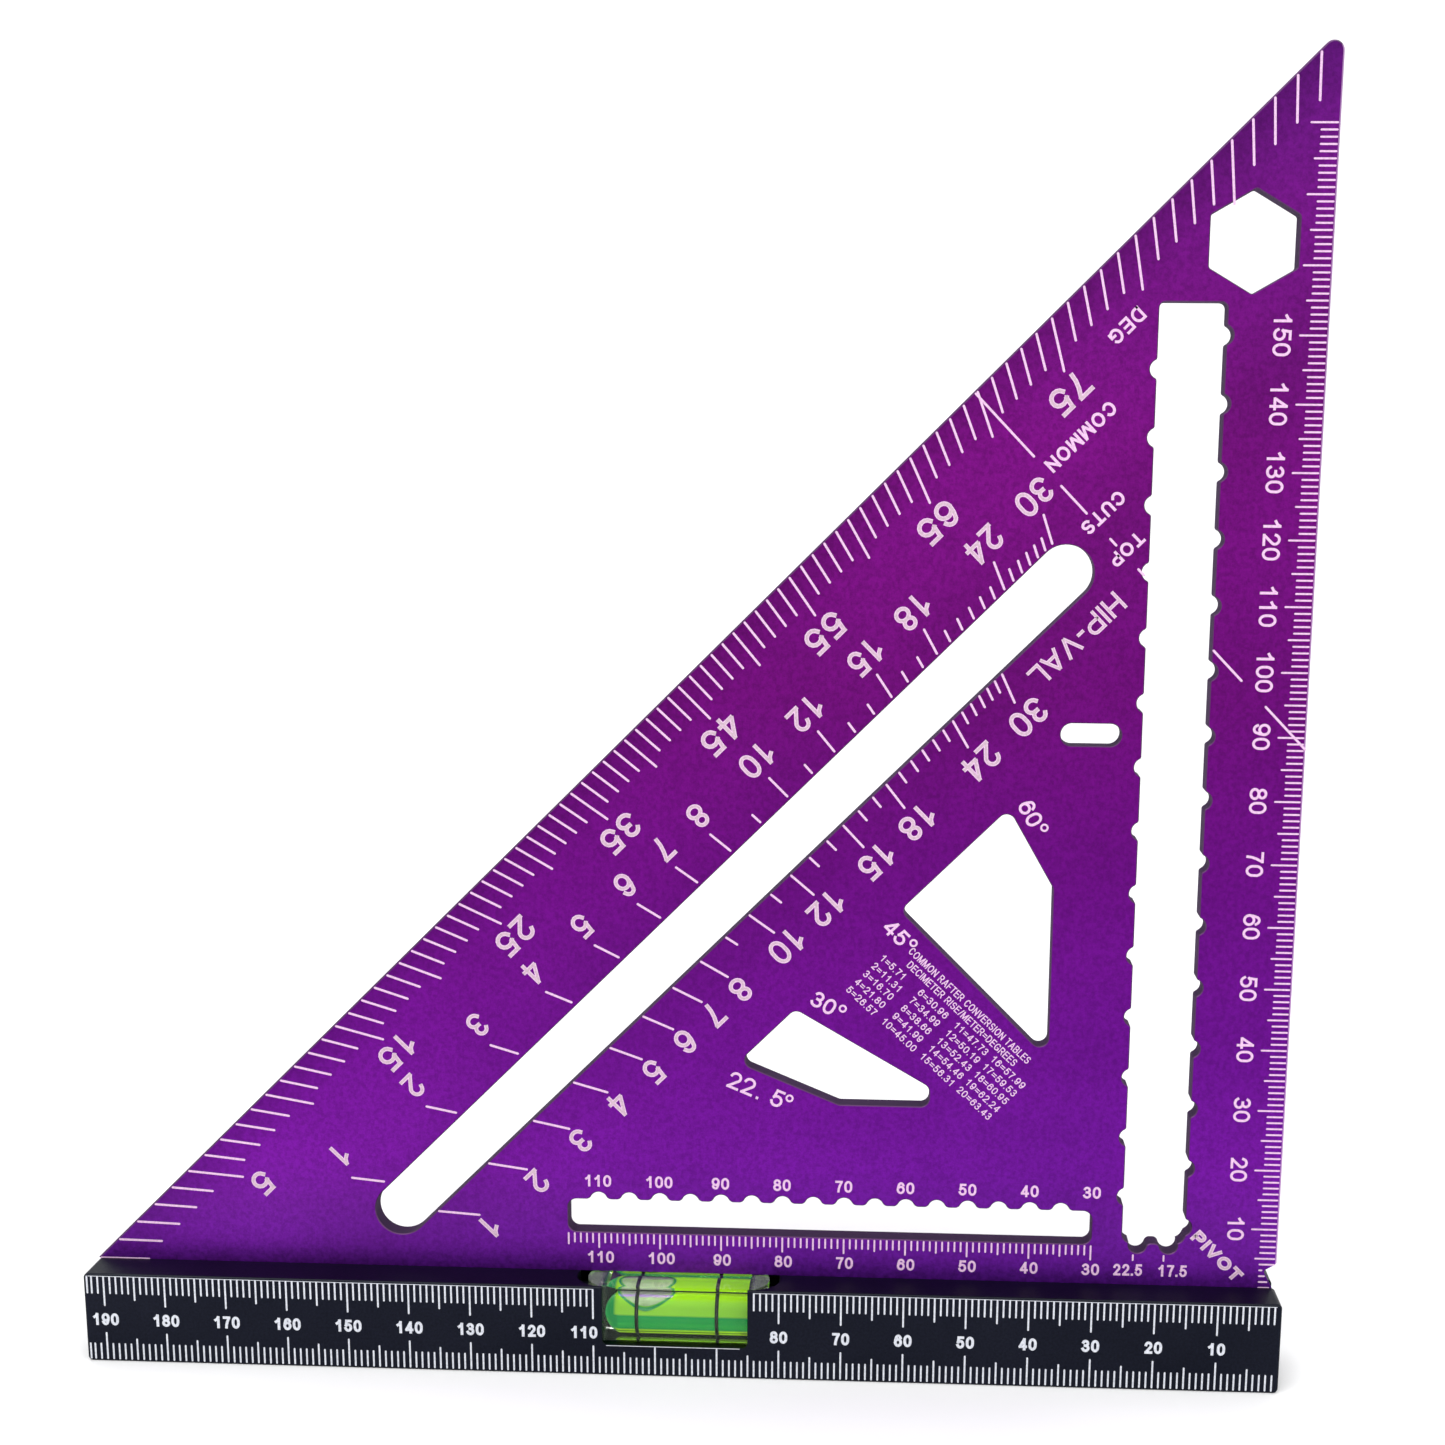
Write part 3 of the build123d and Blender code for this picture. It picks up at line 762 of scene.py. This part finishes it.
def level_scale():
    """Millimetres under the level slot, numbered below and above it, and two angles beside it."""
    marks = Marks("level_slot_scale", pivot, "plate_marking")
    top = 6.55
    for number in range(30, 116):
        marks.bar((-number, top), (-number, top - tick_reach(number, 1.75, 2.1, 2.6)), FINE_TICK)
    pen = Pen(marks, 0, cap=2.0, stroke=0.36, digit=1.3, gap=0.24)
    for number in range(30, 111, 10):
        pen.write(str(number), centre=0.03 - 0.9983 * number, baseline=1.4)
        pen.write(str(number), centre=-number - 0.1, baseline=14.55)
    for place, text, centre in ((-23.15, "22.5", -23.9), (-18.2, "17.5", -16.7)):
        marks.bar((place, 5.2), (place, 4.05), FINE_TICK)
        pen.write(text, centre, baseline=1.5, width=4.7)
    return marks


# Each angle: its digits' height and baseline, its number's parts from left to right, its degree sign
ANGLE_LABELS = {
    -60: (2.65, 1.27, (("60", -90.1, -86.0),), (-85.0, 3.4)),
    -30: (2.65, 1.96, (("30", -88.9, -84.9),), (-83.85, 4.08)),
    -45: (2.6, -4.3, (("4", -87.2, -85.2), ("5", -84.9, -83.0)), (-82.0, -2.2)),
    -22.5: (2.9, -4.46, (("22", -94.8, -90.3), (".", -89.6, -89.15), ("5", -87.3, -85.3)),
            (-84.55, -2.2)),
}


def angle_labels():
    """Numbers beside the angle openings, along the lines that they mark."""
    marks = Marks("angle_labels", pivot, "plate_marking")
    for angle, (cap, baseline, words, degree_sign) in ANGLE_LABELS.items():
        pen = Pen(marks, angle, cap, stroke=0.41, digit=2.0, gap=0.3)
        for text, left, right in words:
            pen.write(text, (left + right) / 2, baseline, width=None if text == "." else right - left)
        pen.ring(degree_sign, radius=0.5, stroke=0.3)
    bold = Pen(marks, -45, cap=2.2, stroke=0.62, digit=1.9, gap=0.3, fill=(numeral_fill, 0.45))
    bold.write("PIVOT", centre=-10.5, baseline=-4.2, width=10.6)
    return marks


def conversion_table():
    """Rise in decimetres per metre against degrees, worked out from the tangent, in four columns."""
    marks = Marks("conversion_table", pivot, "plate_marking")
    lean = 1.8
    turn = math.radians(lean)

    def leaned(s, t):
        return (s * math.cos(turn) + t * math.sin(turn), t * math.cos(turn) - s * math.sin(turn))

    heading = Pen(marks, -45 + lean, cap=1.25, stroke=0.17, digit=0.8, gap=0.15)
    for text, centre, baseline, width in (("COMMON RAFTER CONVERSION TABLES", -68.4, -3.5, 26.3),
                                          ("DECIMETER RISE/METER=DEGREES", -68.3, -5.3, 23.7)):
        heading.write(text, *leaned(centre, baseline), width=width)
    entries = Pen(marks, -45 + lean, cap=1.2, stroke=0.17, digit=0.78, gap=0.21)
    column_places = (-83.9, -75.7, -67.9, -59.8)
    first_row, row_step, column_rise = -7.85, 1.86, 0.39
    for rise in range(1, 21):
        column, row = divmod(rise - 1, 5)
        text = f"{rise}={common_angle(rise):.2f}"
        # 10 is the only rise with two digits in its column
        left = column_places[column] - (0.6 if rise == 10 else 0.0)
        centre = left + entries.total(text, entries.digit) / 2
        entries.write(text, *leaned(centre, first_row + column_rise * column - row_step * row))
    return marks


for marks in (degree_scale(), *rafter_scales(), upright_scale(), level_scale(), angle_labels(),
              conversion_table()):
    marks.finish(pink)
numeral_fill.finish(pink_inner)


# ---------------------------------------------------------------- scale on the bar

def bar_scale():
    """Millimetres along the bar's front, in a lower row and an upper row that stops at the vial."""
    corner = Vector((bar_high.x, bar_low.y, bar_high.z))
    marks = Marks("bar_millimetre_scale", corner, "bar_marking")
    height = (bar_high.z - bar_low.z) / MM
    zero = -0.15
    for number in range(1, 194):
        x = max(zero - number, 0.6 - leg)
        marks.bar((x, 0.35 - height), (x, tick_reach(number, 3.2, 4.1, 5.1) - height), FINE_TICK)
        if not 85 <= number <= 109:
            marks.bar((x, -0.35), (x, -tick_reach(number, 3.45, 4.55, 5.55)), FINE_TICK)
    # Lines along the top edge on both sides of the vial, and one under it
    for start, end in ((-leg + 0.8, -110.1), (-84.3, -0.8)):
        marks.bar((start, -0.4), (end, -0.4), 0.09, LINE_LIFT)
    marks.bar((-108.1, -10.05), (-86.4, -10.05), 0.1, LINE_LIFT)
    pen = Pen(marks, 0, cap=2.1, stroke=0.44, digit=1.32, gap=0.2)
    for number in (*range(10, 81, 10), *range(110, 191, 10)):
        clear_of_vial = -1.5 if number == 110 else 0.0
        pen.write(str(number), centre=zero - number + clear_of_vial, baseline=-8.9)
    return marks


bar_scale().finish(pale)


# ---------------------------------------------------------------- spirit level

ROUND_STEPS = 72


def turned(name, outline, axis, material, closed=False):
    """A solid turned about a line along X. The outline is (x, radius) in metres, end to end or closed."""
    axis_y, axis_z = axis
    made = bmesh.new()
    turns = [2 * math.pi * i / ROUND_STEPS for i in range(ROUND_STEPS)]
    rings = []
    for x, radius in outline:
        around = turns if radius else [0.0]
        rings.append([made.verts.new((x, axis_y + radius * math.cos(a), axis_z + radius * math.sin(a)))
                      for a in around])
    for a, b in zip(rings, rings[1:] + (rings[:1] if closed else [])):
        for i in range(ROUND_STEPS):
            j = (i + 1) % ROUND_STEPS
            corners = [a[i % len(a)], a[j % len(a)], b[j % len(b)], b[i % len(b)]]
            made.faces.new(list(dict.fromkeys(corners)))
    bmesh.ops.recalc_face_normals(made, faces=made.faces)
    for face in made.faces:
        face.smooth = abs(face.normal.x) < 0.999
    return add_piece(name, made, material, "square")


def vial_block():
    """The clear block under a flange with rounded ends. It is solid, and the liquid lies in it."""
    flange_thickness, edge_radius = 1.6 * MM, 0.35 * MM
    half = plug_end
    side = (vial_high.y - vial_low.y) / 2
    middle = (vial_high.y + vial_low.y) / 2
    centre = vial_high.x - side
    widest = math.degrees(math.acos((half - centre) / side))
    made = bmesh.new()
    outline = [(half, -side)] + arc(centre, 0, side, side, -widest, widest, 16) + [(half, side)]
    outline += [(-x, -y) for x, y in outline]
    corners = ((half, -side), (half, side), (-half, side), (-half, -side))
    levels = ((outline, vial_high.z), (outline, vial_high.z - flange_thickness), (corners, vial_low.z))
    top, under, foot = [[made.verts.new((x, middle + y, z)) for x, y in level] for level, z in levels]
    count = len(outline)
    made.faces.new(top)
    made.faces.new(list(reversed(foot)))
    for i in range(count):
        j = (i + 1) % count
        made.faces.new((top[i], under[i], under[j], top[j]))
    end = count // 2
    for first, low, high in ((0, foot[0], foot[1]), (end, foot[2], foot[3])):
        cap = under[first + 1:first + end - 1]
        made.faces.new(list(reversed(cap)))
        made.faces.new((under[first], low, high, under[first + end - 1], cap[-1], cap[0]))
    made.faces.new((under[end - 1], foot[1], foot[2], under[end]))
    made.faces.new((under[count - 1], foot[3], foot[0], under[0]))
    rims = [edge for edge in made.edges
            if any(all(vertex in level for vertex in edge.verts) for level in (top, foot))]
    bmesh.ops.bevel(made, geom=rims, offset=edge_radius, segments=3, affect="EDGES", profile=0.5)
    bmesh.ops.recalc_face_normals(made, faces=made.faces)
    piece = add_piece("vial_block", made, acrylic, "square")
    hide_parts("vial_body")


def liquid():
    """The liquid fills the bore. It has a domed left end and a flat right end."""
    wall_gap = 0.1 * MM
    radius = (liquid_high.z - liquid_low.z) / 2 - wall_gap
    axis = ((liquid_high.y + liquid_low.y) / 2, (liquid_high.z + liquid_low.z) / 2)
    dome = (radius ** 2 + DOME_SAG ** 2) / (2 * DOME_SAG)
    left, right = liquid_low.x, liquid_high.x
    steps = 14
    turns = [math.asin(radius / dome) * i / steps for i in range(1, steps + 1)]
    outline = [(left, 0)] + [(left + dome * (1 - math.cos(t)), dome * math.sin(t)) for t in turns]
    outline += [(right, radius), (right, 0)]
    piece = turned("liquid", outline, axis, liquid_green)
    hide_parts("vial_liquid")
    return axis, radius


def bubble(axis, bore):
    """A long bubble under the top of the bore. Its upper side follows the bore, and it is a bowl below."""
    axis_y, axis_z = axis
    centre_x = (bubble_low.x + bubble_high.x) / 2
    half_length = (bubble_high.x - bubble_low.x) / 2
    half_width = (bubble_high.y - bubble_low.y) / 2 + BUBBLE_RIM
    # The top just breaks the liquid's surface, so that no liquid is left above the bubble
    top = bore + 0.04 * MM
    lowest = top - (bubble_high.z - bubble_low.z)
    roundness = 0.7
    made = bmesh.new()
    bmesh.ops.create_uvsphere(made, u_segments=64, v_segments=32, radius=1.0)
    for vertex in made.verts:
        x, y, z = vertex.co
        ceiling = math.sqrt(top ** 2 - (y * half_width) ** 2)
        height = ceiling + (lowest - ceiling) * max(-z, 0) ** roundness
        vertex.co = (centre_x + x * half_length, axis_y + y * half_width, axis_z + height)
    for face in made.faces:
        face.smooth = True
    piece = add_piece("bubble", made, air, "bubble")
    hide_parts("vial_bubble")


def sighting_ring(name, cad_name, axis, inner):
    """A thin black ring printed on the wall of the bore."""
    low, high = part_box(cad_name)
    outer = (high.z - low.z) / 2
    outline = [(low.x, inner), (low.x, outer), (high.x, outer), (high.x, inner)]
    piece = turned(name, outline, axis, ring_black, closed=True)
    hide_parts(cad_name)


vial_block()
liquid_axis, liquid_radius = liquid()
bubble(liquid_axis, liquid_radius)
for side in ("left", "right"):
    # Just outside the bubble, which slides past
    sighting_ring(f"sighting_ring_{side}", f"vial_ring_{side}", liquid_axis, liquid_radius + 0.05 * MM)


# ---------------------------------------------------------------- stage, light and camera

def stage():
    """A pale floor that curves up into a backdrop behind the square."""
    near, far, wide, tall, bend = -1.6, 1.1, 3.0, 2.4, 0.5
    outline = [(near, 0.0), (far - bend, 0.0)]
    outline += arc(far - bend, bend, bend, bend, -80, 0, 8)
    outline.append((far, tall))
    made = bmesh.new()
    rows = [[made.verts.new((side * wide, y, z)) for side in (-1, 1)] for y, z in outline]
    for a, b in zip(rows, rows[1:]):
        made.faces.new((a[0], a[1], b[1], b[0]))
    for face in made.faces:
        face.smooth = True
    mesh_object("backdrop", made, pale_paper())


def area_light(name, place, size, power):
    data = bpy.data.lights.new(name, "AREA")
    data.shape = "RECTANGLE"
    data.size = data.size_y = size
    data.energy = power
    lamp = bpy.data.objects.new(name, data)
    aim = Vector((0, 0, 0.1))
    lamp.location = place
    lamp.rotation_euler = (aim - Vector(place)).to_track_quat("-Z", "Y").to_euler()
    bpy.context.scene.collection.objects.link(lamp)


def lighting():
    """An even white surround with three soft lights."""
    world = bpy.data.worlds.new("world")
    world.use_nodes = True
    background = world.node_tree.nodes["Background"]
    background.inputs["Color"].default_value = (1.0, 1.0, 1.0, 1.0)
    background.inputs["Strength"].default_value = 0.9
    bpy.context.scene.world = world
    area_light("key", (-0.6, -0.9, 1.1), size=0.9, power=9.0)
    area_light("fill", (0.8, -0.8, 0.5), size=0.8, power=4.0)
    area_light("top", (0.0, 0.2, 1.3), size=1.0, power=6.0)


def camera():
    """The view: left of the upright leg, above the square's middle, looking slightly down."""
    data = bpy.data.cameras.new("camera")
    data.sensor_width = 36.0
    data.lens = 48.0
    data.shift_x, data.shift_y = -0.0705, 0.0585
    data.clip_start = 0.01
    forward = Vector((-0.0383, 0.9818, -0.1858)).normalized()
    right = Vector((0.9991, 0.0408, 0.0093)).normalized()
    up = right.cross(forward)
    place = pivot + Vector((-62.3, -294.8, 133.8)) * MM
    turn = Matrix((right, up, -forward)).transposed().to_4x4()
    made = bpy.data.objects.new("camera", data)
    made.matrix_world = Matrix.Translation(place) @ turn
    bpy.context.scene.collection.objects.link(made)
    bpy.context.scene.camera = made


stage()
lighting()
camera()
bpy.context.scene.view_settings.view_transform = "Standard"
